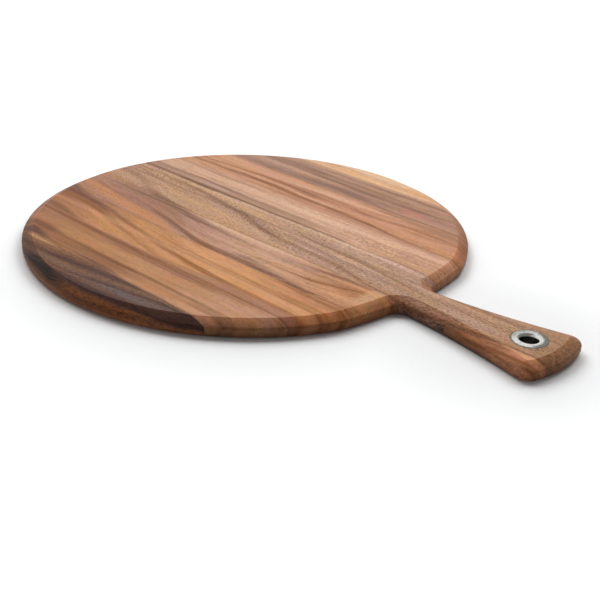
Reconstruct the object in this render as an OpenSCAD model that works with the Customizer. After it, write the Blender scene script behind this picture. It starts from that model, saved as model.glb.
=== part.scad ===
// Round serving board for pizza: nine edge-glued hardwood staves, a flared handle that the heart
// stave runs on into, a bevelled rim all round, and a clinched steel eyelet to hang the board by.
// The origin is the middle of the round on the underside. The handle points along +X, +Z is up.

/* [Board] */
// Diameter of the round
board_d = 356; // [340:1:380]
// Thickness of the staves
board_t = 12; // [11:0.5:16]
// Radius of the flatter arc where the round meets the handle
brow_r = 300; // [280:5:320]
// Depth that the flatter arc takes off the round
brow_cut = 5.6; // [4:0.1:7]

/* [Edge] */
// Width of the bevel and its shoulder, seen from above
bevel_w = 8.2; // [6:0.1:9]
// Slope of the bevel, in degrees
bevel_a = 27; // [22:0.5:32]
// Radius of the shoulder between bevel and side
shoulder_r = 2.2; // [1.5:0.1:3]
// Radius of the round along the underside
foot_r = 3.5; // [2:0.1:4]

/* [Staves] */
// Distance of the heart stave's right glue line from the middle
heart_right = 19.5; // [18.5:0.5:21]
// Width of the heart stave
heart_w = 48.5; // [46:0.5:50]
// Widths of the left staves, from the heart stave outward
left_w = [35, 41, 42]; // [32:0.5:44]
// Widths of the right staves, from the heart stave outward
right_w = [40, 41.5, 40.5]; // [36:0.5:46]

/* [Handle] */
// Reach of the handle past the round
handle_reach = 119.5; // [114:0.5:128]
// Distance past the round to where the handle's width is measured
mid_off = 62; // [58:0.5:66]
// Width of the handle there
mid_w = 48; // [46:0.2:50]
// Flare of each side of the handle there, in degrees
flare_a = 10.2; // [9.6:0.1:11]
// Radius that the sides of the handle are hollowed to
flare_r = 540; // [480:10:600]
// Radius of the fillets between the handle and the round
neck_r = 9.6; // [8:0.2:12]
// Radius of the handle's curved end
end_r = 83; // [75:1:95]
// Radius of the handle's end corners
corner_r = 12; // [10:0.5:13]

/* [Eyelet] */
// Distance from the eyelet's middle to the end of the handle
eyelet_inset = 28.5; // [27:0.5:34]
// Diameter of the eyelet's flange
flange_d = 25; // [22:0.5:28]
// Thickness of the flange
flange_t = 1.2; // [1:0.1:1.5]
// Height that the flange stands above the wood
flange_proud = 0.4; // [0.2:0.1:0.6]
// Diameter of the hanging hole through the eyelet
bore_d = 13.5; // [12:0.5:14.5]
// Wall of the eyelet's barrel
barrel_wall = 1.2; // [1:0.1:1.4]
// Radius of the rolled rim at the mouth of the barrel
rim_r = 1.1; // [0.6:0.1:1.2]
// Radius of the eyelet's other edges
soft_r = 0.4; // [0.2:0.1:0.4]
// Thickness of the back ring
ring_t = 1; // [0.8:0.1:1.2]
// Width of the lip that is clinched over the back ring
clinch_w = 1.4; // [1:0.1:1.8]
// Thickness of the clinched lip
clinch_t = 0.6; // [0.5:0.1:0.8]
// Gap between the flange and the wood around it
seat_gap = 0.15; // [0.1:0.05:0.3]
// Gap between the barrel and its hole
barrel_gap = 0.05; // [0.05:0.05:0.1]
// Height of the clinched lip above the table
lip_rise = 0.2; // [0.1:0.1:0.5]

/* [Hidden] */
$fn = 240;

pale_gold = [0.72, 0.52, 0.30];
grey_brown = [0.42, 0.30, 0.23];
orange_brown = [0.66, 0.42, 0.25];
pink_tan = [0.64, 0.46, 0.33];
tan_brown = [0.60, 0.44, 0.30];
gold_brown = [0.64, 0.44, 0.24];
dark_brown = [0.27, 0.19, 0.15];
steel_grey = [0.78, 0.78, 0.77];

// How far blended surfaces run past one another, so that they cross cleanly
blend = 0.15;
// Least thickness of the handle's cheeks
cheek_least = 0.6;
// How far cutting shapes run past the wood
spill = 1;
// How far the neck's filling wood runs on past the middle of the board
lap = 2;
board_r = board_d / 2;
brow_c = [board_r - brow_cut - brow_r, 0];
tip_x = board_r + handle_reach;
end_c = [tip_x - end_r, 0];
mid_x = board_r + mid_off;
// Crosscut through the neck that keeps the handle apart from the staves of the round
split_x = board_r + neck_r;

// Edge section: the shoulder arc turns from the upright side into the bevel
shoulder_in = shoulder_r * (1 - sin(bevel_a));
bevel_flat = bevel_w - shoulder_in;
bevel_foot_z = board_t - bevel_flat * tan(bevel_a);
side_top = bevel_foot_z - shoulder_r * cos(bevel_a);

// Glue lines, from the middle outward
heart_left = heart_w - heart_right;
left_1 = heart_left + left_w[0];
left_2 = left_1 + left_w[1];
left_3 = left_2 + left_w[2];
right_1 = heart_right + right_w[0];
right_2 = right_1 + right_w[1];
right_3 = right_2 + right_w[2];
rim_y = board_r + spill;
handle_end = tip_x + spill;

// Direction from one point to another
function toward(p, q) = (q - p) / norm(q - p);

// Where circles about c and d cross, on the right of the line from c to d
function crossing(c, c_r, d, d_r) =
    let (
        gap = norm(d - c),
        along = (gap * gap + c_r * c_r - d_r * d_r) / (2 * gap),
        aside = sqrt(c_r * c_r - along * along),
        v = toward(c, d)
    )
    c + v * along + [v[1], -v[0]] * aside;

// Middles of the arcs that make the left side of the handle, its neck fillet and its end corner
side_c = [mid_x - flare_r * sin(flare_a), mid_w / 2 + flare_r * cos(flare_a)];
fillet_c = crossing(brow_c, brow_r + neck_r - blend, side_c, flare_r - neck_r + blend);
corner_c = crossing(end_c, end_r - corner_r + blend, side_c, flare_r + corner_r - blend);

// Where the handle's left side is y from the middle of the board
function side_x(y) = side_c[0] + sqrt(flare_r * flare_r - pow(side_c[1] - y, 2));

// Starts of the cheeks, where they have grown from a feather edge to their least thickness
left_cheek_x = side_x(heart_left + cheek_least);
right_cheek_x = side_x(heart_right + cheek_least);

eyelet_x = tip_x - eyelet_inset;
bore_r = bore_d / 2;
barrel_r = bore_r + barrel_wall;
hole_r = barrel_r + barrel_gap;
seat_r = flange_d / 2 + seat_gap;
seat_z = board_t + flange_proud - flange_t;
ring_z = lip_rise + clinch_t;
back_seat_z = ring_z + ring_t;

// Section of the eased edge: the outline is at 0, the wood reaches in to -depth
module edge_section(depth) {
    polygon([[-depth, 0], [-foot_r, 0], [0, foot_r], [0, side_top], [-shoulder_in, bevel_foot_z],
        [-bevel_w, board_t], [-depth, board_t]]);
    translate([-foot_r, foot_r]) circle(foot_r);
    translate([-shoulder_r, side_top]) circle(shoulder_r);
}

// Round slab with the eased edge outside
module round_slab(c, r) {
    translate([c[0], c[1], 0])
        rotate_extrude() translate([r, 0]) edge_section(r);
}

// Ring-shaped slab with the eased edge round its hole
module hollow_slab(c, r, depth) {
    translate([c[0], c[1], 0])
        rotate_extrude() translate([r, 0]) mirror([1, 0]) edge_section(depth);
}

// Handle with hollowed, flared sides and a curved end, its corners still sharp
module handle_blank() {
    depth = mid_w * 2;
    intersection() {
        round_slab(end_c, end_r);
        hollow_slab(side_c, flare_r, depth);
        mirror([0, 1, 0]) hollow_slab(side_c, flare_r, depth);
    }
}

// Wood that fills the corner between the round and the left side of the handle
module neck_fill() {
    depth = mid_w;
    in_round = fillet_c + toward(fillet_c, brow_c) * depth;
    to_side = toward(side_c, fillet_c);
    in_neck = fillet_c - to_side * (fillet_c[1] + lap) / to_side[1];
    intersection() {
        linear_extrude(board_t) polygon([fillet_c, in_neck, [in_round[0], -lap], in_round]);
        hollow_slab(fillet_c, neck_r, depth * 2);
    }
}

// What rounding takes off the handle's left end corner
module corner_waste() {
    side_way = toward(corner_c, side_c) * corner_r * 2;
    end_way = toward(end_c, corner_c) * corner_r * 2;
    difference() {
        translate([0, 0, -spill])
            linear_extrude(board_t + 2 * spill)
            polygon([corner_c, corner_c + end_way, corner_c + end_way + side_way, corner_c + side_way]);
        round_slab(corner_c, corner_r);
    }
}

// Hole and seats for the eyelet
module eyelet_hole() {
    translate([eyelet_x, 0, 0]) {
        translate([0, 0, -spill]) cylinder(r = hole_r, h = board_t + 2 * spill);
        translate([0, 0, seat_z]) cylinder(r = seat_r, h = board_t);
        translate([0, 0, -spill]) cylinder(r = seat_r, h = back_seat_z + spill);
    }
}

// The round, with the flatter arc on the handle's side
module round_part() {
    intersection() {
        round_slab([0, 0], board_r);
        round_slab(brow_c, brow_r);
    }
}

// Slab of the space between two glue lines and two crosscuts
module between(y_from, y_to, x_from, x_to) {
    translate([x_from, y_from, -spill])
        cube([x_to - x_from, y_to - y_from, board_t + 2 * spill]);
}

// Stave of the round that the handle has no part in
module plain_stave(y_from, y_to) {
    intersection() {
        round_part();
        between(y_from, y_to, -rim_y, rim_y);
    }
}

// Stave that takes in part of the neck or the handle: what lies in the space given as children
module neck_stave() {
    difference() {
        intersection() {
            union() {
                round_part();
                handle_blank();
                neck_fill();
                mirror([0, 1, 0]) neck_fill();
            }
            union() children();
        }
        corner_waste();
        mirror([0, 1, 0]) corner_waste();
    }
}

module left_edge_stave() {
    color(pale_gold) plain_stave(left_3, rim_y);
}

module left_outer_stave() {
    color(grey_brown) plain_stave(left_2, left_3);
}

module left_middle_stave() {
    color(orange_brown) plain_stave(left_1, left_2);
}

module left_inner_stave() {
    color(pink_tan) neck_stave() between(heart_left, left_1, -rim_y, split_x);
}

module heart_stave() {
    color(tan_brown) difference() {
        neck_stave() {
            between(-heart_right, heart_left, -rim_y, handle_end);
            between(-right_1, 0, split_x, right_cheek_x);
            between(0, left_1, split_x, left_cheek_x);
        }
        eyelet_hole();
    }
}

module right_inner_stave() {
    color(pink_tan) neck_stave() between(-right_1, -heart_right, -rim_y, split_x);
}

module right_middle_stave() {
    color(gold_brown) plain_stave(-right_2, -right_1);
}

module right_outer_stave() {
    color(gold_brown) plain_stave(-right_3, -right_2);
}

module right_edge_stave() {
    color(dark_brown) plain_stave(-rim_y, -right_3);
}

module right_handle_cheek() {
    color(orange_brown) neck_stave() between(-right_1, -heart_right, right_cheek_x, handle_end);
}

module left_handle_cheek() {
    color(pink_tan) neck_stave() between(heart_left, left_1, left_cheek_x, handle_end);
}

// What rounding takes off the corner p of a section: with no turn, the metal lies to the right and above
module corner_off(p, r, turn) {
    translate(p) rotate(turn) difference() {
        translate([-spill, -spill]) square(r + spill);
        translate([r, r]) circle(r);
    }
}

// Flange, barrel and clinched lip, pressed from one piece of steel
module eyelet_front() {
    flange_r = flange_d / 2;
    flange_top = board_t + flange_proud;
    lip_out = barrel_r + clinch_w;
    color(steel_grey) translate([eyelet_x, 0, 0]) rotate_extrude() difference() {
        union() {
            translate([bore_r, lip_rise]) square([barrel_wall, flange_top - lip_rise]);
            translate([bore_r, seat_z]) square([flange_r - bore_r, flange_t]);
            translate([bore_r, lip_rise]) square([lip_out - bore_r, clinch_t]);
        }
        corner_off([bore_r, flange_top], rim_r, -90);
        corner_off([flange_r, flange_top], soft_r, 180);
        corner_off([bore_r, lip_rise], soft_r, 0);
        corner_off([lip_out, lip_rise], soft_r, 90);
    }
}

// Flat ring under the clinched lip, its lower outside edge softened
module eyelet_back() {
    ring_in = barrel_r + barrel_gap;
    ring_out = flange_d / 2;
    color(steel_grey) translate([eyelet_x, 0, 0]) rotate_extrude() difference() {
        translate([ring_in, ring_z]) square([ring_out - ring_in, ring_t]);
        corner_off([ring_out, ring_z], soft_r, 90);
    }
}

left_edge_stave();
left_outer_stave();
left_middle_stave();
left_inner_stave();
heart_stave();
right_inner_stave();
right_middle_stave();
right_outer_stave();
right_edge_stave();
right_handle_cheek();
left_handle_cheek();
eyelet_front();
eyelet_back();
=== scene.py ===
"""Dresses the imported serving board: oiled staves, a steel eyelet, a white table, soft light, a camera."""

import logging
import math
from dataclasses import dataclass
from enum import Enum

import bpy
from mathutils import Matrix, Vector

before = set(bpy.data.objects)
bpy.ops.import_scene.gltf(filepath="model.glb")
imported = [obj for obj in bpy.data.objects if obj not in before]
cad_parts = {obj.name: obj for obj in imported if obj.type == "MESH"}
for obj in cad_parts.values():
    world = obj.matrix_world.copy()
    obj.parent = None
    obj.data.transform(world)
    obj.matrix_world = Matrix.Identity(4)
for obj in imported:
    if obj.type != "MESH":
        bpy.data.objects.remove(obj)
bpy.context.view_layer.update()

LOG = logging.getLogger("serving_board")
Colour = tuple[float, float, float, float]
Triple = tuple[float, float, float]
Span = tuple[float, float]
Run = tuple[tuple[float, ...], ...]

MM_PER_METRE = 1000.0

# Sizes of the board and its eyelet that the finishes follow, in mm
BOARD_TOP = 12.0
EYELET_X = 269.0
EYELET_R = 12.5
EYELET_TOP = 12.4
BORE_R = 6.75


def paint(code: str) -> Colour:
    """Turn a paint code into a linear colour.

    Args:
        code: six hex digits, red, green and blue as they look on a screen.

    Returns:
        The colour as Blender's nodes take it, with alpha 1.
    """
    steps = [int(code[i:i + 2], 16) / 255.0 for i in (0, 2, 4)]
    linear = [s / 12.92 if s <= 0.04045 else ((s + 0.055) / 1.055) ** 2.4 for s in steps]
    return (linear[0], linear[1], linear[2], 1.0)


class Term:
    """A node's output that takes part in Python arithmetic."""

    def __init__(self, sheet: "Sheet", socket: bpy.types.NodeSocket) -> None:
        """Keep the socket and the sheet that it lies on."""
        self.sheet = sheet
        self.socket = socket

    def __add__(self, other: "Term | float") -> "Term":
        """Add a value."""
        return self.sheet.sum("ADD", self, other)

    def __radd__(self, other: float) -> "Term":
        """Add this to a number."""
        return self.sheet.sum("ADD", other, self)

    def __sub__(self, other: "Term | float") -> "Term":
        """Take a value away."""
        return self.sheet.sum("SUBTRACT", self, other)

    def __rsub__(self, other: float) -> "Term":
        """Take this away from a number."""
        return self.sheet.sum("SUBTRACT", other, self)

    def __mul__(self, other: "Term | float") -> "Term":
        """Multiply by a value."""
        return self.sheet.sum("MULTIPLY", self, other)

    def __rmul__(self, other: float) -> "Term":
        """Multiply a number by this."""
        return self.sheet.sum("MULTIPLY", other, self)

    def __truediv__(self, other: "Term | float") -> "Term":
        """Divide by a value."""
        return self.sheet.sum("DIVIDE", self, other)

    def __rtruediv__(self, other: float) -> "Term":
        """Divide a number by this."""
        return self.sheet.sum("DIVIDE", other, self)

    def __neg__(self) -> "Term":
        """Turn the sign."""
        return self.sheet.sum("MULTIPLY", self, -1.0)

    def __abs__(self) -> "Term":
        """Drop the sign."""
        return self.sheet.sum("ABSOLUTE", self, 0.0)

    def __pow__(self, other: float) -> "Term":
        """Raise to a power."""
        return self.sheet.sum("POWER", self, other)

    def at_most(self, other: "Term | float") -> "Term":
        """Take the smaller of the two."""
        return self.sheet.sum("MINIMUM", self, other)

    def at_least(self, other: "Term | float") -> "Term":
        """Take the larger of the two."""
        return self.sheet.sum("MAXIMUM", self, other)

    def within(self, low: float, high: float) -> "Term":
        """Keep the value between two numbers."""
        return self.at_least(low).at_most(high)

    def centred(self) -> "Term":
        """Shift noise so that it is about 0 on average."""
        return self - 0.5

    def step(self, start: float, end: float) -> "Term":
        """Go smoothly from 0 at start to 1 at end."""
        return self.sheet.node("ShaderNodeMapRange", {0: self, 1: start, 2: end},
                               interpolation_type="SMOOTHSTEP")

    def fade(self, start: float, end: float) -> "Term":
        """Go smoothly from 1 at start to 0 at end."""
        return 1.0 - self.step(start, end)

    def mixed(self, other: "Term | Colour", mask: "Term | float") -> "Term":
        """Blend this colour towards another where the mask is 1."""
        return self.sheet.blend(self, other, mask)

    def scaled(self, gain: "Term | float") -> "Term":
        """Make this colour or vector larger or smaller by a gain."""
        return self.sheet.node("ShaderNodeVectorMath", {0: self, 3: gain}, operation="SCALE")

    def filtered(self, other: "Term | Triple") -> "Term":
        """Multiply this colour by another, channel by channel."""
        return self.sheet.node("ShaderNodeVectorMath", {0: self, 1: other}, operation="MULTIPLY")


def length(a: Term, b: Term) -> Term:
    """Give the length of a way that goes by a along one axis and by b along the other."""
    return (a * a + b * b) ** 0.5


class Sheet:
    """A node tree that is written as Python expressions."""

    def __init__(self, tree: bpy.types.NodeTree) -> None:
        """Start from an empty tree."""
        self.tree = tree
        tree.nodes.clear()

    def node(self, kind: str, inputs: dict | None = None, output: int | str = 0,
             **settings: object) -> Term:
        """Add one node.

        Args:
            kind: the node's Blender type.
            inputs: numbers, colours or terms for its sockets, by index or name.
            output: the socket that is handed back.
            settings: the node's own properties; stops fills a colour ramp with (place, colour) pairs,
                and ramp_blend is the way it goes between them.

        Returns:
            The chosen output.
        """
        made = self.tree.nodes.new(kind)
        stops = settings.pop("stops", ())
        blend = settings.pop("ramp_blend", "LINEAR")
        for name, value in settings.items():
            setattr(made, name, value)
        if stops:
            ramp = made.color_ramp
            ramp.interpolation = blend
            ramp.elements[0].position, ramp.elements[0].color = stops[0]
            ramp.elements[1].position, ramp.elements[1].color = stops[-1]
            for place, colour in stops[1:-1]:
                ramp.elements.new(place).color = colour
        for key, value in (inputs or {}).items():
            if isinstance(value, Term):
                self.tree.links.new(value.socket, made.inputs[key])
            else:
                made.inputs[key].default_value = value
        return Term(self, made.outputs[output] if len(made.outputs) else made.inputs[0])

    def sum(self, operation: str, left: Term | float, right: Term | float) -> Term:
        """Add a Math node that works on two values."""
        return self.node("ShaderNodeMath", {0: left, 1: right}, operation=operation)

    def blend(self, first: Term | Colour, second: Term | Colour, mask: Term | float) -> Term:
        """Mix two colours, all of the second where the mask is 1."""
        return self.node("ShaderNodeMix", {0: mask, 6: first, 7: second}, 2, data_type="RGBA")

    def parts(self, vector: Term) -> tuple[Term, Term, Term]:
        """Split a vector into its three values.

        Args:
            vector: the vector to split.

        Returns:
            Its x, y and z.
        """
        x = self.node("ShaderNodeSeparateXYZ", {0: vector})
        split = x.socket.node
        return x, Term(self, split.outputs[1]), Term(self, split.outputs[2])

    def place(self) -> tuple[Term, Term, Term]:
        """Give the place on the part as x, y and z, in mm."""
        return self.parts(self.node("ShaderNodeTexCoord", output="Object").scaled(MM_PER_METRE))

    def noise(self, x: Term, y: Term | float, z: Term | float, detail: float = 2.0,
              rough: float = 0.5) -> Term:
        """Sample soft noise, about 0.5 on average, at a place.

        Args:
            x: first coordinate, already divided by the feature's size.
            y: second coordinate.
            z: third coordinate.
            detail: how many finer layers are added.
            rough: how strong the finer layers are.

        Returns:
            The noise value.
        """
        place = self.node("ShaderNodeCombineXYZ", {0: x, 1: y, 2: z})
        return self.node("ShaderNodeTexNoise", {"Vector": place, "Scale": 1.0, "Detail": detail,
                                                "Roughness": rough})

    def along(self, x: Term, rows: Run) -> list["Term | float"]:
        """Look up values that change along the grain.

        Args:
            x: place along the grain, in mm.
            rows: places along x, each followed by one to three values.

        Returns:
            The values at x, and a plain number for a value that stays the same.
        """
        columns = list(zip(*rows))
        first, reach = columns[0][0], columns[0][-1] - columns[0][0]
        lows = [min(column) for column in columns[1:]]
        spans = [max(column) - low for column, low in zip(columns[1:], lows)]
        stops = []
        for row in rows:
            shares = [(value - low) / span if span else 0.0
                      for value, low, span in zip(row[1:], lows, spans)]
            shares += [0.0] * (3 - len(shares))
            stops.append(((row[0] - first) / reach, (*shares, 1.0)))
        ramp = self.node("ShaderNodeValToRGB", {0: (x - first) / reach}, stops=stops, ramp_blend="CARDINAL")
        return [share * span + low if span else low
                for share, low, span in zip(self.parts(ramp), lows, spans)]


def blank_finish(name: str) -> tuple[bpy.types.Material, Sheet]:
    """Start a finish.

    Args:
        name: the material's name.

    Returns:
        The material, and the empty sheet for its nodes.
    """
    made = bpy.data.materials.new(name)
    made.use_nodes = True
    return made, Sheet(made.node_tree)


@dataclass(frozen=True)
class LayerSize:
    """The size of one layer of the wood's texture.

    Along, across and through are the lengths of its features in mm. Shift sets layers apart in the noise,
    and a cut turns the noise into separate spots.
    """

    along: float
    across: float
    through: float
    detail: float = 2.0
    rough: float = 0.5
    shift: float = 0.0
    cut: Span | None = None


class Layer(Enum):
    """The layers of texture that the wood is drawn with."""

    DRIFT = LayerSize(95.0, 40.0, 40.0)
    WOBBLE = LayerSize(20.0, 6.0, 7.0, detail=4.0, rough=0.6)
    BAND = LayerSize(150.0, 6.0, 9.0)
    LINE = LayerSize(42.0, 1.8, 2.4, detail=3.0, rough=0.6)
    STROKE = LayerSize(8.0, 0.9, 1.2, rough=0.6, shift=9.0)
    MOTTLE = LayerSize(18.0, 5.0, 5.0)
    SMOKE = LayerSize(60.0, 9.0, 12.0, detail=3.0, shift=5.0, cut=(0.52, 0.80))
    PORE = LayerSize(5.0, 0.55, 0.6, detail=1.0, cut=(0.58, 0.74))
    FLECK = LayerSize(3.0, 1.05, 1.2, cut=(0.45, 0.62))
    BLUSH = LayerSize(30.0, 4.0, 6.0, shift=15.0)
    HONEY = LayerSize(36.0, 6.0, 8.0, shift=21.0)

    def sample(self, sheet: Sheet, x: Term, y: Term, z: Term, seed: float) -> Term:
        """Sample the layer at a place.

        Args:
            sheet: the finish's nodes.
            x: place along the grain, in mm.
            y: place across the grain, in mm.
            z: height, in mm.
            seed: where the stave starts in the noise.

        Returns:
            Noise of about 0.5 on average, or spots from 0 to 1 where the layer has a cut.
        """
        size = self.value
        noise = sheet.noise(x / size.along, y / size.across, z / size.through + (seed + size.shift),
                            size.detail, size.rough)
        return noise.step(*size.cut) if size.cut else noise


class Breakup(Enum):
    """How a streak is broken up by the wood's own texture."""

    EVEN = "even"
    GRAIN = "grain"
    FLECK = "fleck"


@dataclass(frozen=True)
class Streak:
    """A band or line of another colour that follows the grain.

    The run's rows are place along the board, middle of the streak, half its width, and strength. Far and
    near widen or narrow its two sides, core is the share that is solid, and spread is how far the soft edge
    reaches, in half widths.
    """

    tint: str
    run: Run
    far: float = 1.0
    near: float = 1.0
    core: float = 0.15
    breakup: Breakup = Breakup.GRAIN
    spread: float = 1.35

    def cover(self, sheet: Sheet, x: Term, y: Term, textures: dict[Breakup, Term]) -> Term:
        """Work out how strongly the streak covers the wood.

        Args:
            sheet: the finish's nodes.
            x: place along the grain, in mm.
            y: place across the grain, in mm.
            textures: the fine texture for each way of breaking up.

        Returns:
            The cover, from 0 to 1.
        """
        middle, half, strength = sheet.along(x, self.run)
        offset = (y - middle) / (half * self.spread)
        reach = (offset / self.far).at_least(offset / -self.near)
        cover = reach.fade(self.core, 1.0) * strength
        if self.breakup is not Breakup.EVEN:
            cover = cover * textures[self.breakup]
        return cover.within(0.0, 1.0)


@dataclass(frozen=True)
class Oil:
    """The oiled surface that all staves share.

    Sheen and light are what the surface and the studio add to the wood's own colour, of which at least the
    least share is kept. Even is painted light: a gain per mm towards the handle that makes up for the lamps'
    fall-off. Pale, deep and smoked are tones of the ground, and the heights and depths make up the relief.
    """

    sheen: float = 0.043
    light: float = 1.07
    least: float = 0.3
    # Painted light: a gain per mm towards the handle that makes up for the lamps' fall-off.
    even: float = 0.00045
    pale: float = 1.20
    deep: Triple = (0.65, 0.56, 0.53)
    smoked: Triple = (0.62, 0.56, 0.56)
    balance: float = 0.28
    contrast: float = 2.0
    grain_least: float = 0.15
    grain_gain: float = 1.9
    roughness: float = 0.47
    mottle_rough: float = 0.12
    pore_rough: float = 0.10
    gloss: float = 0.12
    relief: float = 0.00012
    relief_strength: float = 0.5
    line_height: float = 0.40
    pore_depth: float = 0.80
    fleck_depth: float = 0.15

    def pigment(self, code: str) -> Colour:
        """Turn a paint code into the wood's own colour.

        Args:
            code: the colour that the wood shows in the studio, with the light and the sheen on it.

        Returns:
            The linear colour for the shader.
        """
        shown = paint(code)[:3]
        red, green, blue = (max((v - self.sheen) / self.light, v * self.least) for v in shown)
        return (red, green, blue, 1.0)


@dataclass(frozen=True)
class Rim:
    """The glue lines and the eased edge, whose upright sides are darker and warmer and carry painted
    light and shade.

    Away, near and fore are the sides that face +Y, -Y and +X, and ends show end grain, where oil fills part
    of the pores. The sides that face +Y get painted shade and those that face +X a warmer painted tint. Low
    down the sides get painted shade, at mid height those that face -Y do too, and the upper edge of the
    sides that face -Y and +X gets a painted highlight. A span is where a part begins and ends, on the
    surface's normal or as a height in mm. A loss is the share of red, green and blue that the part swallows.
    """

    glue_width: float = 0.5
    glue_dark: float = 0.22
    upright: Span = (0.90, 0.99)
    # Painted shade on the sides that face +Y, and a warmer painted tint on those that face +X.
    away: Span = (0.0, 0.45)
    fore: Span = (0.10, 0.45)
    near: Span = (0.05, 0.30)
    # Painted shade low on the sides.
    low_shading: Span = (0.5, 6.0)
    # Painted shade at mid height on the sides that face -Y.
    near_shade_start: Span = (0.5, 4.0)
    near_shade_end: Span = (8.2, 9.8)
    # Painted highlight along the upper edge, this deep in mm.
    highlight_depth: float = 2.6
    side_dark: float = 0.21
    ends_dark: float = 0.17
    ends_fill: float = 0.6
    darkest: float = 0.05
    side_loss: Triple = (0.0, 0.10, 0.08)
    away_loss: Triple = (0.12, 0.24, 0.44)
    fore_loss: Triple = (0.0, 0.03, 0.10)
    ends_loss: Triple = (0.0, 0.0, 0.10)
    low_shading_loss: Triple = (0.0, 0.0, -0.12)


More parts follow.
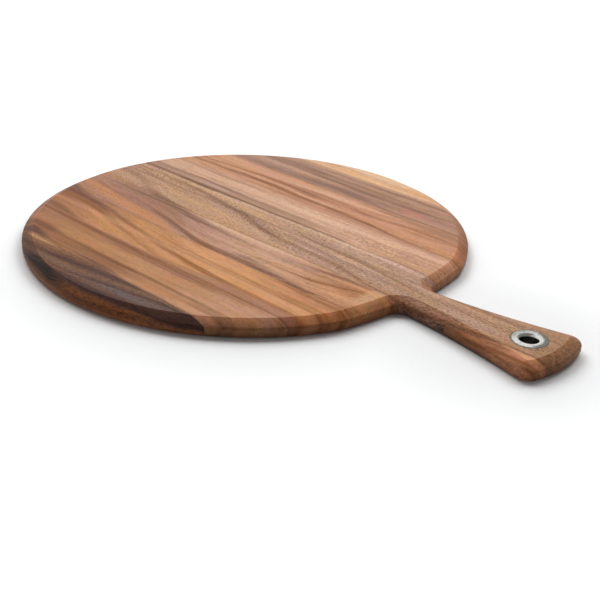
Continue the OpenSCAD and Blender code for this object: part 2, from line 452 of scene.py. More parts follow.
@dataclass(frozen=True)
class Timber:
    """The oiled finish of one stave, with its figure.

    Ground is the colour along the board, flow the way that the grain drifts across it, and edges are the
    glue lines. Band to pores are the strengths of the layers, lean tilts the figure through the thickness,
    and the next strength darkens a ring round the eyelet's flange with painted shade. Blush and honey vary
    the red and the yellow. The three after them paint shade low on the rim, where a negative value paints
    light from the table instead, paint shade at mid height on the sides that face -Y, and paint a highlight
    along the upper edge of the sides that face -Y and +X.
    """

    ground: tuple[tuple[float, str], ...]
    streaks: tuple[Streak, ...]
    edges: Span
    seed: float
    flow: Run = ((-180, 0), (300, 0))
    band: float = 0.75
    line: float = 0.70
    stroke: float = 0.45
    mottle: float = 0.40
    flecks: float = 0.15
    smoke: float = 0.45
    pores: float = 0.36
    lean: float = -0.5
    # Painted shade in a ring round the eyelet's flange.
    flange_shade: float = 0.0
    blush: float = 0.36
    honey: float = 0.80
    # Painted shade low and at mid height on the rim, and a painted highlight on its upper edge.
    low_shading: float = 0.24
    near_shade: float = 0.18
    painted_highlight: float = 0.28

    drift: float = 5.0
    streak_drift: float = 0.2
    wobble: float = 2.4
    flange_shade_width: float = 1.1
    oil: Oil = Oil()
    rim: Rim = Rim()

    def material(self, name: str) -> bpy.types.Material:
        """Make the finish.

        Args:
            name: the material's name.

        Returns:
            The material, ready for its stave.
        """
        made, sheet = blank_finish(name)
        x, y, z = sheet.place()
        drift = Layer.DRIFT.sample(sheet, x, y, z, self.seed).centred() * self.drift
        wobble = Layer.WOBBLE.sample(sheet, x, y, z, self.seed).centred() * self.wobble
        across = y + (z - BOARD_TOP) * self.lean + wobble
        grain = across + drift - sheet.along(x, self.flow)[0]
        textured = (layer for layer in Layer if layer not in (Layer.DRIFT, Layer.WOBBLE))
        texture = {layer: layer.sample(sheet, x, grain, z, self.seed) for layer in textured}
        line, pore, fleck = texture[Layer.LINE], texture[Layer.PORE], texture[Layer.FLECK]

        colour = self.figure(sheet, x, across + drift * self.streak_drift, texture)
        pits_and_shade = pore * self.pores + fleck * self.flecks
        # Painted shade: a dark ring in the wood round the eyelet's flange.
        if self.flange_shade:
            reach = length(x - EYELET_X, y) - EYELET_R
            pits_and_shade = pits_and_shade + reach.fade(0.0, self.flange_shade_width) * self.flange_shade
        colour = colour.filtered(self.shading(sheet, y, z, pits_and_shade))

        oil = self.oil
        height = line * oil.line_height - pore * oil.pore_depth - fleck * oil.fleck_depth
        bump = sheet.node("ShaderNodeBump", {"Strength": oil.relief_strength, "Distance": oil.relief,
                                             "Height": height})
        mottle = texture[Layer.MOTTLE].centred()
        shader = sheet.node("ShaderNodeBsdfPrincipled", {
            "Base Color": colour, "Normal": bump, "Specular IOR Level": oil.gloss,
            "Roughness": oil.roughness + mottle * oil.mottle_rough + pore * oil.pore_rough})
        sheet.node("ShaderNodeOutputMaterial", {0: shader})
        return made

    def ground_colour(self, sheet: Sheet, x: Term) -> Term:
        """Lay the colours along the board.

        Args:
            sheet: the finish's nodes.
            x: place along the grain, in mm.

        Returns:
            The colour at x.
        """
        first = self.ground[0][0]
        reach = self.ground[-1][0] - first
        stops = tuple(((place - first) / reach, self.oil.pigment(code)) for place, code in self.ground)
        return sheet.node("ShaderNodeValToRGB", {0: (x - first) / reach}, stops=stops, ramp_blend="EASE")

    def figure(self, sheet: Sheet, x: Term, across: Term, texture: dict[Layer, Term]) -> Term:
        """Draw the ground with its grain, and the streaks on it.

        Args:
            sheet: the finish's nodes.
            x: place along the grain, in mm.
            across: place across the grain, in mm, as the streaks follow it.
            texture: the samples of the wood's layers.

        Returns:
            The wood's colour, without pores and without the rim's shading.
        """
        oil = self.oil
        strengths = ((Layer.BAND, self.band), (Layer.LINE, self.line), (Layer.MOTTLE, self.mottle),
                     (Layer.STROKE, self.stroke))
        tone = sum(texture[layer].centred() * strength for layer, strength in strengths) * oil.contrast
        base = self.ground_colour(sheet, x)
        colour = base.scaled(oil.pale).mixed(base.filtered(oil.deep), (oil.balance + tone).within(0.0, 1.0))
        colour = colour.mixed(base.filtered(oil.smoked), texture[Layer.SMOKE] * self.smoke)
        textures = {Breakup.GRAIN: oil.grain_least + oil.grain_gain * texture[Layer.LINE],
                    Breakup.FLECK: texture[Layer.FLECK]}
        for streak in self.streaks:
            colour = colour.mixed(oil.pigment(streak.tint), streak.cover(sheet, x, across, textures))
        red = 1.0 + texture[Layer.BLUSH].centred() * self.blush
        blue = 1.0 - texture[Layer.HONEY].centred() * self.honey
        colour = colour.filtered(sheet.node("ShaderNodeCombineXYZ", {0: red, 1: 1.0, 2: blue}))
        # Painted light: the colour is lifted towards the handle to make up for the lamps' fall-off.
        return colour.scaled(1.0 + x * oil.even)

    def shading(self, sheet: Sheet, y: Term, z: Term, pits_and_shade: Term) -> Term:
        """Darken the pores, the glue lines and the rim, and paint shade on the rim and a highlight on its
        upper edge.

        Args:
            sheet: the finish's nodes.
            y: place across the grain, in mm.
            z: height, in mm.
            pits_and_shade: how dark the pores and flecks are, with the painted shade round the eyelet.

        Returns:
            The filter for the wood's colour.
        """
        rim = self.rim
        forward, sideways, upward = sheet.parts(sheet.node("ShaderNodeNewGeometry", output="Normal"))
        side = abs(upward).fade(*rim.upright)
        ends = side * forward * forward
        # Painted shade: the sides that face +Y are darker and warmer.
        away = side * sideways.step(*rim.away)
        near = side * (-sideways).step(*rim.near)
        # Painted light: the sides that face +X get a warmer tint.
        fore = side * forward.step(*rim.fore)
        # Painted shade low on the sides; a negative strength paints light from the table instead.
        low_shading = side * z.fade(*rim.low_shading)
        # Painted shade at mid height on the sides that face -Y.
        near_shaded = near * z.step(*rim.near_shade_start) * z.fade(*rim.near_shade_end)
        # Painted highlight along the upper edge of the sides that face -Y and +X.
        painted_highlight = (near + fore).at_most(1.0) * z.step(BOARD_TOP - rim.highlight_depth, BOARD_TOP)
        seam = (y - self.edges[0]).fade(0.0, rim.glue_width) + (self.edges[1] - y).fade(0.0, rim.glue_width)
        dark = (pits_and_shade * (1.0 - ends * rim.ends_fill) + seam * rim.glue_dark + side * rim.side_dark
                + ends * rim.ends_dark + low_shading * self.low_shading + near_shaded * self.near_shade - painted_highlight * self.painted_highlight)
        keep = (1.0 - dark).at_least(rim.darkest)
        losses = ((side, rim.side_loss), (away, rim.away_loss), (fore, rim.fore_loss),
                  (ends, rim.ends_loss), (low_shading, rim.low_shading_loss))
        channels = {}
        for channel in range(3):
            lost = sum(mask * loss[channel] for mask, loss in losses if loss[channel])
            channels[channel] = keep * (1.0 - lost)
        return sheet.node("ShaderNodeCombineXYZ", channels)


@dataclass(frozen=True)
class Steel:
    """Pressed steel, brushed round the hole, its reflection painted duller on two sides and near the
    flange's edge, with painted shade on its inner lip and down the bore.

    A way is a side of the eyelet as shares of x and y, and its span is in mm along the way. A band goes from
    0 at the bore to 1 at the flange's edge.
    """

    tone: str = "e0ded9"
    dull_and_shade: str = "6c6d65"
    bore_shade: str = "1d1b1a"
    roughness: float = 0.24

    brush_width: float = 0.12
    brush_length: float = 9.0
    brush_height: float = 0.4
    brush_dull: float = 0.10
    brush_rough: float = 0.08
    brush_relief: float = 0.00002
    brush_strength: float = 0.3

    smudge_size: float = 1.8
    smudge_blur: float = 4.0
    smudge_cut: Span = (0.48, 0.74)
    smudge_dull: float = 0.38
    smudge_rough: float = 0.14

    # Painted reflection: the ring is duller on two sides and near the flange's edge on the rest.
    shade_side_way: Span = (0.92, 0.40)
    shade_side_span: Span = (0.0, 9.0)
    shade_side_band: Span = (0.25, 0.70)
    outer_band: Span = (0.75, 1.0)
    outer_dull: float = 0.7
    shaded_way: Span = (-0.95, 0.30)
    shaded_span: Span = (1.0, 10.0)
    shaded_dull: float = 0.42

    lip_roll: float = 2.5
    # Painted shade on the inner lip, on the side towards the board.
    lip_span: Span = (-2.0, 5.0)
    lip_band: Span = (0.05, 0.32)
    lip_shade_strength: float = 0.85

    # Painted shade down the bore, less on its lit side.
    bore_shade_band: Span = (0.0, 0.12)
    bore_shade_depth: Span = (6.0, 1.0)
    bore_shade_rough: float = 0.20
    lit_way: Span = (-1.0, 0.3)
    lit_span: Span = (1.0, 7.0)
    bore_lit_share: float = 0.5

    def material(self, name: str) -> bpy.types.Material:
        """Make the finish.

        Args:
            name: the material's name.

        Returns:
            The material for the eyelet's pieces.
        """
        made, sheet = blank_finish(name)
        x, y, z = sheet.place()
        side = x - EYELET_X
        radius = length(side, y)
        band = (radius - BORE_R) / (EYELET_R - BORE_R)
        brush = sheet.noise(radius / self.brush_width, side / self.brush_length,
                            y / self.brush_length + z / self.brush_height, detail=1.0)
        smudge = sheet.noise(side / self.smudge_size, y / self.smudge_size, z / self.smudge_size)
        blur = smudge.centred() * self.smudge_blur

        # Painted reflection: the ring is painted duller on two sides and towards the flange's edge on the
        # rest.
        shade_side = (side * self.shade_side_way[0] + y * self.shade_side_way[1] + blur).step(*self.shade_side_span)
        shaded = (side * self.shaded_way[0] + y * self.shaded_way[1] + blur).step(*self.shaded_span)
        lit = (side * self.lit_way[0] + y * self.lit_way[1]).step(*self.lit_span)
        outer = (1.0 - shade_side) * band.step(*self.outer_band)
        # Painted shade on the inner lip, on the side towards the board.
        lip_shade = (-side).step(*self.lip_span) * band.fade(*self.lip_band)
        # Painted shade down the bore, less on its lit side.
        sunk = z.fade(EYELET_TOP - self.bore_shade_depth[0], EYELET_TOP - self.bore_shade_depth[1])
        bore_shaded = band.fade(*self.bore_shade_band) * sunk * (1.0 - lit * self.bore_lit_share)
        # Dulled by brushing and smudges, and darker where reflection and shade are painted.
        dull_and_shade = (shade_side * band.step(*self.shade_side_band) + outer * self.outer_dull + lip_shade * self.lip_shade_strength
                + shaded * self.shaded_dull + smudge.step(*self.smudge_cut) * self.smudge_dull
                + brush * self.brush_dull)
        tone = sheet.blend(paint(self.tone), paint(self.dull_and_shade), dull_and_shade.at_most(1.0))

        dip = (EYELET_TOP - z).within(0.0, self.lip_roll)
        lip = sheet.node("ShaderNodeBump", {"Strength": 1.0, "Distance": 1.0 / MM_PER_METRE,
                                            "Height": dip - dip * dip / (2.0 * self.lip_roll)})
        bump = sheet.node("ShaderNodeBump", {"Strength": self.brush_strength, "Normal": lip,
                                             "Distance": self.brush_relief, "Height": brush})
        rough = (self.roughness + smudge.centred() * self.smudge_rough + brush.centred() * self.brush_rough
                 + bore_shaded * self.bore_shade_rough)
        shader = sheet.node("ShaderNodeBsdfPrincipled", {
            "Base Color": tone.mixed(paint(self.bore_shade), bore_shaded), "Metallic": 1.0, "Normal": bump,
            "Roughness": rough})
        sheet.node("ShaderNodeOutputMaterial", {0: shader})
        return made


STAVES: dict[str, Timber] = {
    "left_edge_stave": Timber(
        ground=((-100, "cfa98e"), (-10, "dcb08b"), (95, "cda382")),
        edges=(147, 400), seed=11,
        streaks=(
            Streak("c09679", ((-85, 147.5, 2, 0.6), (0, 147.5, 2.5, 0.6), (95, 147.5, 2.5, 0.5))),
            Streak("e6c2a4", ((-50, 165, 5, 0.3), (10, 164, 5, 0.6), (60, 161, 4, 0.3))),
            Streak("dba772", (
                (-65, 154, 3, 0.2), (-30, 153, 4, 0.6), (5, 155, 3, 0.2), (50, 157, 4, 0.7),
                (85, 153, 3, 0.1))),
        )),
    "left_outer_stave": Timber(
        ground=((-130, "ad8872"), (115, "ab856e")),
        edges=(105, 147), seed=23,
        streaks=(
            Streak("8d6b5a", (
                (-110, 128.5, 2, 0.5), (-50, 127, 2, 0.8), (0, 125, 2.4, 0.9), (22, 124, 4, 0.8),
                (50, 124, 3, 0.5), (80, 124.5, 3.5, 0.8), (118, 126, 2.5, 0.4))),
            Streak("8e6d5e", (
                (-115, 112, 4, 0.4), (-60, 111, 5, 0.6), (-10, 113, 4, 0.9), (22, 112, 5.5, 0.8),
                (55, 107, 3, 0.5), (120, 106, 2.4, 0.6))),
            Streak("917062", (
                (-105, 131, 3, 0.6), (-72, 133, 4, 0.4), (-40, 133, 4, 0.9), (-5, 133, 3, 0.3),
                (20, 131, 3, 0.4), (40, 131, 3, 0))),
            Streak("c09b86", (
                (-115, 122, 2, 0.5), (-60, 121.5, 2, 0.8), (-15, 121, 1.4, 0.4), (10, 120, 1, 0))),
            Streak("98715b", (
                (-80, 142.5, 1.4, 0.2), (0, 142.5, 1.6, 0.5), (40, 142, 2.2, 0.9), (105, 142, 2, 0.6))),
            Streak("c0866f", (
                (55, 116, 4, 0), (80, 115.5, 5, 0.8), (105, 114, 4, 0.2), (120, 114, 3, 0))),
            Streak("c29d85", ((-70, 146.2, 1.2, 0.7), (90, 146.2, 1, 0.6))),
        )),
    "left_middle_stave": Timber(
        ground=((-170, "ce9b78"), (10, "c89372"), (155, "bf8d6e")),
        flow=((-170, 4), (-60, 0), (20, 2), (80, 7), (150, 14)), edges=(64, 105), seed=37,
        streaks=(
            Streak("d6a98c", (
                (-130, 99, 4, 0.5), (-50, 96, 5, 0.4), (20, 97.5, 4, 0.9), (60, 97, 3, 0.3),
                (100, 97, 3, 0))),
            Streak("a67f66", (
                (15, 103.5, 1.5, 0.3), (60, 102.5, 2.6, 0.6), (100, 100.5, 4, 0.7), (145, 98, 5, 0.9))),
            Streak("9a6a50", (
                (-150, 81.5, 2, 0.8), (-110, 84, 2.2, 0.6), (-70, 86.5, 2.6, 0.9), (-35, 86, 3.4, 0.9),
                (-8, 84, 4.6, 0.95), (10, 84.5, 3.6, 0.5), (28, 87, 3, 0.4), (52, 86, 3, 0.8),
                (75, 88, 2.4, 0.3), (110, 90, 2.2, 0.7), (145, 90, 3, 0.5))),
            Streak("ab7e62", (
                (-45, 90, 2, 0.2), (-10, 90.5, 2.6, 0.8), (20, 90, 2.4, 0.7), (52, 89, 2, 0.3))),
            Streak("98694f", (
                (-155, 74.5, 2, 0.6), (-115, 75, 2.4, 0.7), (-65, 76.5, 3.2, 0.9), (-10, 74, 2.8, 0.95),
                (22, 73.5, 2.6, 0.95), (52, 72, 3, 0.8), (80, 69.5, 2.6, 0.9), (110, 66, 2.4, 0.6),
                (150, 64.5, 2, 0.4))),
            Streak("d0a087", (
                (-110, 80.7, 1.2, 0.4), (-40, 80.3, 1.4, 0.5), (-5, 78.3, 1.6, 0.9), (25, 78, 1.8, 0.6),
                (60, 78, 1.6, 0.1))),
            Streak("b08268", (
                (-95, 69, 3, 0.3), (-55, 68, 3.5, 0.7), (20, 69, 3.5, 0.7), (60, 67, 3.5, 0.6),
                (100, 65, 2, 0.2))),
            Streak("d09a7a", ((60, 82, 3, 0.2), (85, 81, 3.5, 0.7), (145, 74, 5, 0.6))),
        )),
    "left_inner_stave": Timber(
        ground=((-175, "cca487"), (60, "d5ab8e"), (170, "cfa385")),
        flow=((-175, 2), (40, 0), (100, -3), (170, -6)), edges=(29, 64), seed=41, stroke=0.55,
        blush=0.20, honey=0.45,
        streaks=(
            Streak("b98b71", (
                (-155, 61, 2.6, 0.6), (-100, 59.5, 2.8, 0.8), (-40, 61, 2.6, 0.6), (20, 62, 2.2, 0.5),
                (160, 62.5, 2.2, 0.5))),
            Streak("deb498", (
                (-45, 50, 3, 0.2), (22, 50.5, 4, 0.9), (60, 52, 3.6, 0.8), (155, 57, 3, 0.4))),
            Streak("a5826f", (
                (-172, 36, 5.5, 0.9), (-100, 35.5, 5.2, 0.8), (-68, 35.5, 5, 0.8), (-40, 35, 4.6, 0.75),
                (20, 35, 4.5, 0.7), (55, 34, 3, 0.3), (80, 33, 2.5, 0.1)), core=0.4),
            Streak("8f6c59", (
                (-150, 40.2, 1.4, 0.3), (-105, 40.2, 1.8, 0.8), (-68, 39.8, 1.7, 0.8),
                (-30, 38.5, 1.6, 0.5), (10, 38, 1.4, 0.2))),
            Streak("c3a294", (
                (-125, 35, 1.6, 0.1), (-88, 35.2, 1.8, 0.7), (-68, 35, 1.8, 0.8), (-42, 34.5, 1.4, 0))),
            Streak("6f503f", (
                (-172, 30.3, 2, 0.9), (-130, 30, 1.8, 0.8), (-100, 30, 2.2, 0.95), (-68, 30, 2, 0.95),
                (-40, 29.8, 1.8, 0.75), (20, 29.8, 1.8, 0.7), (50, 29.8, 1.6, 0.6), (105, 29.8, 1, 0.2),
                (140, 30, 1.5, 0.45), (168, 30.3, 1.5, 0.2))),
            Streak("a3785d", (
                (40, 44, 5, 0), (75, 45, 7, 0.5), (115, 40, 8, 0.65), (150, 38, 9, 0.65),
                (168, 38, 9, 0.3)), breakup=Breakup.FLECK),
            Streak("c99a75", ((95, 33, 4, 0.2), (145, 33, 4, 0.6), (168, 33, 4, 0.9))),
            Streak("b98d72", ((60, 46, 1.8, 0.2), (140, 50, 1.8, 0.7), (165, 50, 1.8, 0.5))),
        )),
    "heart_stave": Timber(
        ground=((-178, "be9477"), (-80, "c79e79"), (100, "c7a289"), (235, "ba957b"),
                (298, "ac876c")),
        flow=((-178, 22), (-100, 10), (-30, 4), (40, -5), (110, -10), (180, -16), (298, -17)),
        # Painted shade darkens a ring round the eyelet on this stave.
        edges=(-19.5, 29), seed=53, stroke=0.80, flecks=0.34, pores=0.54, lean=0.5, flange_shade=0.45,
        near_shade=0.10,
        streaks=(
            Streak("deb79d", (
                (-30, 26.3, 1.4, 0.2), (50, 26, 2, 0.7), (110, 26.3, 2.2, 0.95), (165, 25, 2, 0.2))),
            Streak("8e6a56", (
                (-178, 28.7, 1.2, 0.3), (-125, 28.7, 1.2, 0.6), (-98, 28.4, 1.6, 0.9),
                (-68, 28.2, 1.6, 0.95), (-40, 28.6, 1.2, 0.6), (160, 28.7, 0.8, 0.3))),
            Streak("d5b093", (
                (-118, 25.4, 1.2, 0.4), (-72, 25.2, 1.7, 0.9), (-30, 25.8, 1.8, 0.8), (10, 25.6, 1.6, 0.5),
                (40, 25, 1.2, 0))),
            Streak("a27c62", (
                (-125, 21.5, 1.2, 0.2), (-98, 20.8, 1.5, 0.8), (-70, 19.8, 1.6, 0.6), (-45, 17, 1.6, 0.1))),
            Streak("c09a7e", ((-120, 14, 5, 0), (-60, 8, 6, 0.4), (40, 14, 5, 0.4), (130, 16, 5, 0.3))),
            Streak("a57d64", (
                (-125, 20.5, 1.8, 0.3), (-98, 20, 2.6, 0.75), (-68, 17, 2.8, 0.9), (-40, 12.5, 3.4, 0.9),
                (-10, 8, 4, 0.95), (15, 0, 4, 0.9), (42, -5, 3.4, 0.85), (80, -6.5, 3.2, 0.9),
                (110, -9, 3.8, 0.95), (132, -14.5, 3.2, 0.75), (162, -19, 2.6, 0.8))),
            Streak("85614d", (
                (-60, 15.5, 1, 0.2), (-38, 12.5, 1.6, 0.35), (-10, 8, 1.8, 0.35), (18, -1, 1.8, 0.35),
                (42, -5, 1.4, 0.3), (75, -6, 1.2, 0.4), (108, -9, 2, 0.75), (130, -14, 1.4, 0.5),
                (155, -18.5, 1.4, 0.5))),
            Streak("7f5c49", (
                (-75, 18, 4, 0.2), (-40, 13, 6, 0.65), (0, 6, 7, 0.7), (30, -2, 8, 0.65), (60, -8, 8, 0.55),
                (105, -8, 7, 0.4), (178, -6, 10, 0.35)), breakup=Breakup.FLECK),
            Streak("a58066", (
                (32, 17, 1.2, 0.1), (50, 14, 2, 0.8), (80, 11.3, 2, 0.8), (110, 9.3, 2.4, 0.9),
                (140, 6, 2, 0.9), (172, 1.5, 2, 0.7), (195, -1, 1.6, 0.2))),
            Streak("b08b74", (
                (25, 5, 3, 0.3), (55, 3.5, 4, 0.7), (110, -1.5, 3.5, 0.8), (140, -3, 3, 0.4),
                (178, -6, 5, 0.7), (215, -6, 4, 0))),
            Streak("a17762", (
                (-172, 4, 5, 0.5), (-145, 1, 5, 0.6), (-128, -4, 5, 0.9), (-100, -13.5, 5, 0.95),
                (-82, -17.5, 4.4, 0.8), (-55, -20, 2.5, 0.3))),
            Streak("836154", (
                (-128, -17, 3, 0.3), (-98, -17.5, 3.6, 0.85), (-78, -18.3, 3, 0.9), (-50, -19.3, 2, 0.4),
                (-30, -19.4, 1.2, 0))),
            Streak("be8c68", ((-178, -14, 6, 0.7), (-158, -15, 5, 0.7), (-138, -16, 4, 0.2))),
            Streak("cda07b", ((-80, -4, 7, 0.3), (-45, -6, 8, 0.6), (5, -14, 5, 0.6), (35, -15, 3, 0.1))),
            Streak("96725c", (
                (185, 11, 2.4, 0.4), (215, 10, 2.6, 0.5), (250, 10, 2.4, 0.6), (298, 8, 1.6, 0.4))),
            Streak("a07b64", ((195, 1, 1.4, 0.2), (235, -3, 1.6, 0.4), (262, -4, 1.6, 0.2))),
            Streak("c8a388", (
                (190, -8, 4, 0.3), (220, -7.5, 3.4, 0.7), (242, -6, 3, 0.5), (262, -6, 3, 0))),
        )),
    "right_inner_stave": Timber(
        ground=((-172, "b3856b"), (-90, "a67b66"), (50, "cba184"), (168, "c8936b")),
        flow=((-170, -6), (-100, -14), (-50, -20), (0, -32), (60, -30), (120, -24), (165, -14)),
        edges=(-59.5, -19.5), seed=67, stroke=0.65, pores=0.48,
        streaks=(
            Streak("80604f", (
                (-155, -23, 4, 0.2), (-115, -23, 5, 0.65), (-92, -22, 5, 0.9), (-68, -22.5, 4.4, 1),
                (-40, -26, 4, 0.85), (-15, -28, 3.5, 0.55), (45, -31, 3, 0.2))),
            Streak("dcb394", (
                (-35, -20.5, 1.2, 0.2), (-12, -21.8, 2.2, 0.95), (30, -22.3, 2.4, 0.85),
                (55, -21.8, 2.2, 0.9), (98, -21, 1.2, 0))),
            Streak("d0a589", (
                (0, -25, 2, 0.2), (22, -26, 2.4, 0.8), (60, -26.3, 3, 0.6), (88, -26, 2, 0))),
            Streak("986f5a", (
                (68, -28, 2, 0.1), (90, -26, 2.5, 0.5), (112, -23.7, 3.2, 0.95), (132, -21.8, 2.6, 0.95),
                (168, -21, 2, 0.5))),
            Streak("ca8f64", (
                (-172, -38, 5, 0.3), (-150, -41, 6, 0.8), (-125, -45, 7, 0.9), (-90, -50, 7.5, 0.95),
                (-48, -54, 5.2, 0.9), (-20, -58.5, 2.8, 0.5), (-5, -59.5, 1.5, 0.1))),
            Streak("8c6450", (
                (-100, -35, 2, 0.1), (-70, -40, 2.8, 0.55), (-40, -46, 3, 0.95), (-10, -53, 3.4, 0.95),
                (15, -56, 3.8, 0.95), (50, -55.5, 4.4, 0.85), (95, -57, 3.6, 0.85), (112, -57.7, 3, 0.95),
                (138, -58, 2.6, 0.6), (165, -58, 2.4, 0.5))),
            Streak("a57e6e", (
                (20, -50, 2.5, 0.1), (52, -49.7, 3, 0.9), (80, -51.5, 3, 0.55), (105, -53, 3, 0.2))),
            Streak("7b5b50", ((-172, -55, 5, 0.95), (-155, -56, 4.2, 0.8), (-118, -60, 2, 0.1))),
            Streak("ab7a59", (
                (98, -40, 6, 0.1), (125, -35, 7, 0.6), (148, -34, 8, 0.75), (160, -35, 9, 0.5))),
            Streak("966647", (
                (75, -44, 1, 0.2), (92, -43, 1.2, 0.7), (110, -42, 1.6, 0.95), (125, -38, 1.4, 0.8),
                (140, -33.5, 1.5, 0.8), (158, -28, 1.4, 0.4))),
            Streak("d2a27b", (
                (149, -34, 13, 0), (154, -34, 13, 0.7), (162, -34, 13, 0.8), (168, -34, 13, 0.2)),
                core=0.6),
        )),
    "right_middle_stave": Timber(
        ground=((-165, "8b6050"), (-70, "c08b62"), (60, "ce986b"), (150, "c8906a")),
        flow=((-165, -64), (-90, -76), (-30, -88), (10, -96), (60, -100), (145, -101)),
        edges=(-101, -59.5), seed=71, band=0.5, line=0.15, smoke=0.3, flecks=0.10,
        streaks=(
            Streak("a26f55", ((-165, -80, 8, 0.7), (-130, -79, 6, 0.7), (-95, -84, 3, 0))),
            Streak("7c5645", (
                (-170, -60, 5, 0.95), (-130, -64, 5, 0.95), (-100, -67.5, 5, 0.85), (-82, -69.5, 3.6, 0.6),
                (-35, -78, 2.2, 0.4))),
            Streak("97663f", (
                (-65, -73, 1.8, 0.3), (-25, -80, 2.2, 0.6), (-8, -83, 2.7, 0.75), (20, -86.7, 2.7, 0.8),
                (50, -89.7, 2.5, 0.85), (85, -91, 2.3, 0.65), (150, -92.5, 2.3, 0.6)), far=1.5, near=0.9),
            Streak("90633f", (
                (-168, -70, 2.6, 0.7), (-130, -70.5, 3, 0.75), (-98, -74.5, 3.2, 0.75),
                (-70, -81, 2.6, 0.5), (-30, -90, 2, 0.4), (-8, -95, 2.2, 0.5), (25, -99.7, 2.2, 0.4)),
                far=1.4, near=0.9),
            Streak("ad7a50", (
                (-45, -68, 1.2, 0.2), (0, -73, 1.4, 0.6), (40, -74, 1.4, 0.5), (90, -74.5, 1.8, 0.7),
                (145, -74, 2, 0.6))),
            Streak("8f654c", (
                (-148, -92, 4, 0.7), (-128, -93, 5, 0.9), (-98, -98.5, 3.4, 0.8), (-60, -100, 2, 0.5))),
            Streak("c99059", ((-90, -87, 3, 0.3), (-68, -91, 3.6, 0.9), (-28, -95, 2, 0.3))),
            Streak("ab7f68", (
                (0, -99, 2, 0.4), (50, -96, 3.2, 0.7), (95, -95.5, 3.8, 0.8), (150, -96, 3.8, 0.75)),
                core=0.4),
            Streak("8f6249", ((-140, -100.5, 1.6, 0.85), (0, -100.8, 1.5, 0.7), (140, -100.8, 1.4, 0.3))),
            Streak("a07252", ((78, -61, 1.6, 0.2), (112, -61.5, 2.6, 0.8), (155, -63.5, 3.4, 0.85))),
            Streak("d79f74", ((35, -80, 4, 0.4), (85, -81.5, 4, 0.7), (150, -84, 4, 0.9))),
        )),
    "right_outer_stave": Timber(
        ground=((-135, "ac7d5f"), (-60, "b28159"), (40, "bd8d69"), (115, "c69a7b")),
        edges=(-141.5, -101), seed=83, band=0.4, line=0.15, smoke=0.3, flecks=0.10,
        streaks=(
            Streak("8d6148", (
                (-135, -102, 1.8, 0.7), (-70, -102.6, 2.6, 0.8), (-20, -102.9, 3, 0.8),
                (50, -103, 3.4, 0.75), (120, -102.8, 2.8, 0.4))),
            Streak("9d725a", ((-65, -106.5, 2, 0.5), (20, -106.7, 2.4, 0.9), (115, -107, 2, 0.2))),
            Streak("c18f69", (
                (-85, -114, 3, 0.2), (-10, -115.5, 4, 0.6), (45, -114, 4, 0.9), (112, -118.5, 4, 0.7))),
            Streak("825a41", (
                (-125, -126, 4, 0.7), (-98, -126, 6, 0.9), (-72, -127, 3, 0.6), (-10, -127.5, 3.4, 0.85),
                (22, -126.3, 2.4, 0.65), (80, -126.2, 2.2, 0.55), (120, -126.5, 2.2, 0.4))),
            Streak("93684f", (
                (-92, -134, 5, 0.7), (-30, -133, 5.5, 0.75), (-2, -133.5, 5.5, 0.85), (18, -133, 5, 0.5),
                (42, -131, 3, 0.2), (112, -131, 3, 0.6))),
            Streak("614439", (
                (-115, -135, 3, 0.6), (-100, -136, 5, 0.95), (-72, -139, 2.6, 0.5), (-40, -139, 2, 0.5),
                (-10, -139, 2.4, 0.75), (25, -141, 1.4, 0.3))),
            Streak("be8960", ((25, -136, 3, 0.1), (46, -135, 3.8, 0.85), (80, -135, 2.5, 0.2))),
        )),
    "right_edge_stave": Timber(
        ground=((-110, "845f49"), (-50, "805e4b"), (40, "745c50"), (115, "57453f")),
        flow=((-110, -172), (-40, -164), (0, -158), (60, -148), (115, -140)), edges=(-400, -141.5),
        # Painted light: this stave's low rim is lifted by light from the table instead of shaded.
        seed=97, band=0.5, line=0.40, stroke=1.2, smoke=0.3, flecks=0.42, pores=0.54, lean=1, low_shading=-0.5,
        near_shade=0, painted_highlight=0.10,
        streaks=(
            Streak("9c7055", (
                (-100, -147, 3.5, 0.5), (-70, -145, 4, 0.9), (-40, -143.5, 2.4, 0.7), (-5, -142.5, 1, 0))),
            Streak("d2a075", (
                (-104, -142.6, 1.4, 0.5), (-88, -143.2, 1.9, 0.95), (-74, -143.1, 1.6, 0.8),
                (-50, -142.5, 1, 0))),
            Streak("5c4336", (
                (-78, -154, 2.6, 0.4), (-40, -152, 3.4, 0.85), (-8, -148, 3.6, 0.8), (20, -144.5, 2.6, 0.5),
                (58, -142.5, 1.2, 0.1))),
            Streak("8a6955", (
                (-65, -159, 3, 0.5), (-40, -159, 3.6, 0.95), (0, -153.5, 2.4, 0.6), (52, -144.5, 2.4, 0.9),
                (80, -142.5, 1.4, 0.8))),
            Streak("523d33", (
                (-38, -164, 1.4, 0.3), (0, -159.3, 1.6, 0.7), (45, -150.5, 1.4, 0.6),
                (92, -143.5, 1.2, 0.3))),
            Streak("786762", (
                (8, -160, 3, 0.2), (32, -156.5, 3.6, 0.9), (52, -154.8, 4.2, 0.95), (75, -151, 3.2, 0.85),
                (102, -146, 2, 0.2))),
            Streak("553f37", ((-22, -169, 4.2, 0.7), (20, -168.5, 4.5, 0.85), (62, -163, 4, 0.8))),
            Streak("8a5f4c", ((-66, -163.5, 1.6, 0.3), (-46, -163.5, 1.8, 0.8), (-20, -164.5, 1.4, 0.1))),
            # Partly the wood's colour and partly painted light from the table: a lighter band low on the
            # rim.
            Streak("ad7c5e", (
                (-100, -165, 6, 0.4), (-60, -180, 5, 0.8), (0, -189, 6, 0.9), (50, -178, 6, 0.9),
                (95, -163, 5, 0.6), (115, -152, 5, 0.5)), core=0.5),
            Streak("96674a", (
                (-25, -178, 4, 0.1), (5, -181, 6, 0.9), (30, -178, 6, 0.9), (52, -174, 5, 0.8),
                (70, -168, 4, 0.2)), core=0.5),
            Streak("402c20", (
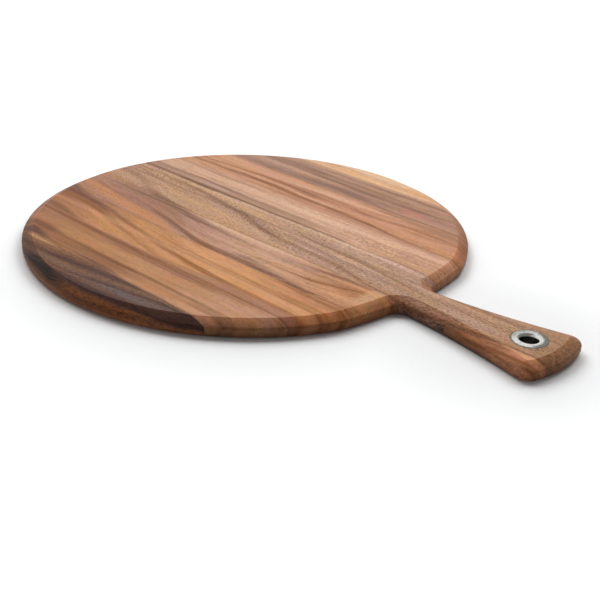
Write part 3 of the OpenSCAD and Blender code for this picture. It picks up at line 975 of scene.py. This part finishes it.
                (-75, -163, 3, 0.3), (-48, -168.5, 5, 0.95), (-28, -173.5, 5, 0.9), (-10, -177, 4, 0.5),
                (5, -178, 4, 0)), core=0.4),
            Streak("64524b", (
                (58, -160, 4, 0), (80, -153, 5, 0.65), (98, -145.5, 5, 0.8), (118, -139, 5, 0.8)),
                near=0.9, core=0.4),
        )),
    "right_handle_cheek": Timber(
        ground=((190, "957059"), (245, "bd8b69"), (272, "d29d78"), (298, "cc9877")),
        flow=((190, 0), (298, -6)), edges=(-60, -19.5), seed=101, lean=0.5, near_shade=0.04,
        streaks=(
            Streak("d4ac8e", (
                (236, -20.3, 0.7, 0), (254, -20.5, 0.9, 0.3), (293, -20.4, 0.8, 0.3)),
                breakup=Breakup.EVEN),
            Streak("94623f", ((222, -26, 1.4, 0.3), (260, -27, 1.8, 0.6), (298, -29, 1.6, 0.4))),
            Streak("6d4630", ((262, -34, 1.4, 0.1), (284, -33, 1.6, 0.3), (298, -31, 1.8, 0.5))),
        )),
    "left_handle_cheek": Timber(
        ground=((190, "b08a70"), (298, "a57f66")),
        edges=(29, 60), seed=113,
        streaks=(
            Streak("8b6048", ((235, 31, 1.2, 0.4), (298, 31, 1.2, 0.4))),
        )),
}


def put_on(node: str, finish: bpy.types.Material) -> None:
    """Put a finish on one of the part's nodes, in place of what it came with.

    Args:
        node: the node's name.
        finish: the material that it gets.
    """
    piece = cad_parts[node]
    piece.data.materials.clear()
    piece.data.materials.append(finish)
    LOG.info("dressed %s", node)


@dataclass
class Panel:
    """The edge-glued panel that the round and its handle are cut from."""

    staves: dict[str, Timber]

    def dress(self) -> None:
        """Give each stave its own timber."""
        for node, timber in self.staves.items():
            put_on(node, timber.material(f"oiled_{node}"))


@dataclass
class Eyelet:
    """The two steel pieces that line the hanging hole."""

    pieces: tuple[str, ...] = ("eyelet_front", "eyelet_back")
    finish: Steel = Steel()

    def dress(self) -> None:
        """Give both pieces the steel."""
        steel = self.finish.material("pressed_steel")
        for node in self.pieces:
            put_on(node, steel)


class Ray(Enum):
    """The rays that are shown white: the eye's, and those that a surface throws back or lets through."""

    EYE = "Is Camera Ray"
    MIRRORED = "Is Glossy Ray"
    PASSED = "Is Transmission Ray"

    @classmethod
    def shown_white(cls, sheet: Sheet) -> Term:
        """Give 1 on these rays and 0 on all others."""
        eye, mirrored, passed = (sheet.node("ShaderNodeLightPath", output=ray.value) for ray in cls)
        return eye.at_least(mirrored).at_least(passed)


@dataclass(frozen=True)
class Lamp:
    """A square soft lamp, with its place and size in metres and its power in watts."""

    name: str
    place: Triple
    power: float
    size: float = 1.8

    def hang(self, aim: Triple) -> None:
        """Hang the lamp.

        Args:
            aim: the place that it faces, in metres.
        """
        light = bpy.data.lights.new(self.name, "AREA")
        light.shape = "SQUARE"
        light.size = self.size
        light.energy = self.power
        lamp = bpy.data.objects.new(self.name, light)
        bpy.context.scene.collection.objects.link(lamp)
        lamp.visible_glossy = False
        lamp.location = self.place
        lamp.rotation_euler = (Vector(aim) - Vector(self.place)).to_track_quat("-Z", "Y").to_euler()


@dataclass
class Studio:
    """The white table, the room's light and the lamps, in metres.

    The table's painted shade is a round and a bar along the handle: beyond them a glow that only the eye
    and reflections see whitens the table with painted light. A lift is the gap from them at which the table
    starts to look whiter, the gap at which it has got there, and the gain.
    """

    table_half: float = 6.0
    table_drop: float = 0.0002
    table_low: Colour = (0.90, 0.905, 0.91, 1.0)
    table_high: Colour = (0.94, 0.945, 0.945, 1.0)
    table_speck: float = 0.004
    table_roughness: float = 0.8
    table_gloss: float = 0.1
    shade_middle: Span = (-0.005, 0.009)
    shade_r: float = 0.182
    handle_start: Span = (0.143, 0.014)
    handle_length: float = 0.091
    handle_half: float = 0.053
    lifts: Run = ((-0.02, 0.16, 0.365), (0.40, 1.60, 0.65))
    room_white: Colour = (1.0, 1.0, 1.0, 1.0)
    room_light: float = 0.13
    lamp_aim: Triple = (0.06, 0.0, 0.0)
    lamps: tuple[Lamp, ...] = (
        Lamp("left_lamp", (-1.85, 0.40, 2.1), 50.0),
        Lamp("right_lamp", (-0.10, 1.95, 2.1), 40.5),
        Lamp("low_lamp", (-1.6, 1.75, 0.85), 42.0),
    )

    def build(self) -> None:
        """Set up the table, the room and the lamps."""
        self.table()
        self.room()
        for lamp in self.lamps:
            lamp.hang(self.lamp_aim)

    def table(self) -> None:
        """Lay the white table under the board."""
        half, level = self.table_half, -self.table_drop
        corners = [(-half, -half, level), (half, -half, level), (half, half, level), (-half, half, level)]
        mesh = bpy.data.meshes.new("table")
        mesh.from_pydata(corners, [], [(0, 1, 2, 3)])
        table = bpy.data.objects.new("table", mesh)
        bpy.context.scene.collection.objects.link(table)
        mesh.materials.append(self.table_white())

    def table_white(self) -> bpy.types.Material:
        """Make the table's finish, which keeps the board's shadow and has painted light away from it.

        Returns:
            The material for the table.
        """
        white, sheet = blank_finish("white_table")
        x, y, _ = sheet.parts(sheet.node("ShaderNodeTexCoord", output="Object"))
        speck = sheet.noise(x / self.table_speck, y / self.table_speck, 0.0)
        along, aside = x - self.handle_start[0], y - self.handle_start[1]
        past = along - along.within(0.0, self.handle_length)
        from_handle = length(past, aside) - self.handle_half
        from_round = length(x - self.shade_middle[0], y - self.shade_middle[1]) - self.shade_r
        gap = from_round.at_most(from_handle)
        # Painted light: a glow for the eye and reflections only, growing with the gap from the board, so the
        # shade near it is partly painted.
        lift = sum(gap.step(start, end) * gain for start, end, gain in self.lifts)
        lift = lift * Ray.shown_white(sheet)
        shader = sheet.node("ShaderNodeBsdfPrincipled", {
            "Base Color": sheet.blend(self.table_low, self.table_high, speck),
            "Roughness": self.table_roughness, "Specular IOR Level": self.table_gloss,
            "Emission Color": sheet.node("ShaderNodeCombineXYZ", {0: lift, 1: lift, 2: lift}),
            "Emission Strength": 1.0})
        sheet.node("ShaderNodeOutputMaterial", {0: shader})
        return white

    def room(self) -> None:
        """Light the room evenly, and show it white to the eye and in reflections."""
        world = bpy.data.worlds.new("white_room")
        bpy.context.scene.world = world
        world.use_nodes = True
        sheet = Sheet(world.node_tree)
        strength = self.room_light + Ray.shown_white(sheet) * (1.0 - self.room_light)
        glow = sheet.node("ShaderNodeBackground", {0: self.room_white, 1: strength})
        sheet.node("ShaderNodeOutputWorld", {0: glow})


@dataclass
class Viewpoint:
    """The camera, as the photograph was taken: angles in degrees, places in metres, the lens in mm."""

    azimuth: float = 43.145
    elevation: float = 26.188
    roll: float = 2.249
    distance: float = 0.7702
    target: Triple = (0.1113, -0.0530, 0.0)
    lens: float = 64.303
    sensor: float = 36.0
    nearest: float = 0.01

    def build(self) -> None:
        """Place the camera."""
        turn, tilt, roll = (math.radians(v) for v in (self.azimuth, self.elevation, self.roll))
        back = Vector((math.sin(turn) * math.cos(tilt), -math.cos(turn) * math.cos(tilt), math.sin(tilt)))
        level = Vector((math.cos(turn), math.sin(turn), 0.0))
        rise = back.cross(level)
        right = level * math.cos(roll) + rise * math.sin(roll)
        up = rise * math.cos(roll) - level * math.sin(roll)
        spot = Vector(self.target) + back * self.distance
        data = bpy.data.cameras.new("camera")
        data.sensor_width = self.sensor
        data.lens = self.lens
        data.clip_start = self.nearest
        camera = bpy.data.objects.new("camera", data)
        bpy.context.scene.collection.objects.link(camera)
        axes = Matrix((right, up, back)).transposed()
        camera.matrix_world = Matrix.Translation(spot) @ axes.to_4x4()
        bpy.context.scene.camera = camera


def main() -> None:
    """Build the scene."""
    logging.basicConfig(level=logging.INFO, format="%(message)s")
    bpy.context.scene.view_settings.view_transform = "Standard"
    Viewpoint().build()
    Studio().build()
    Panel(STAVES).dress()
    Eyelet().dress()


if __name__ == "__main__":
    main()
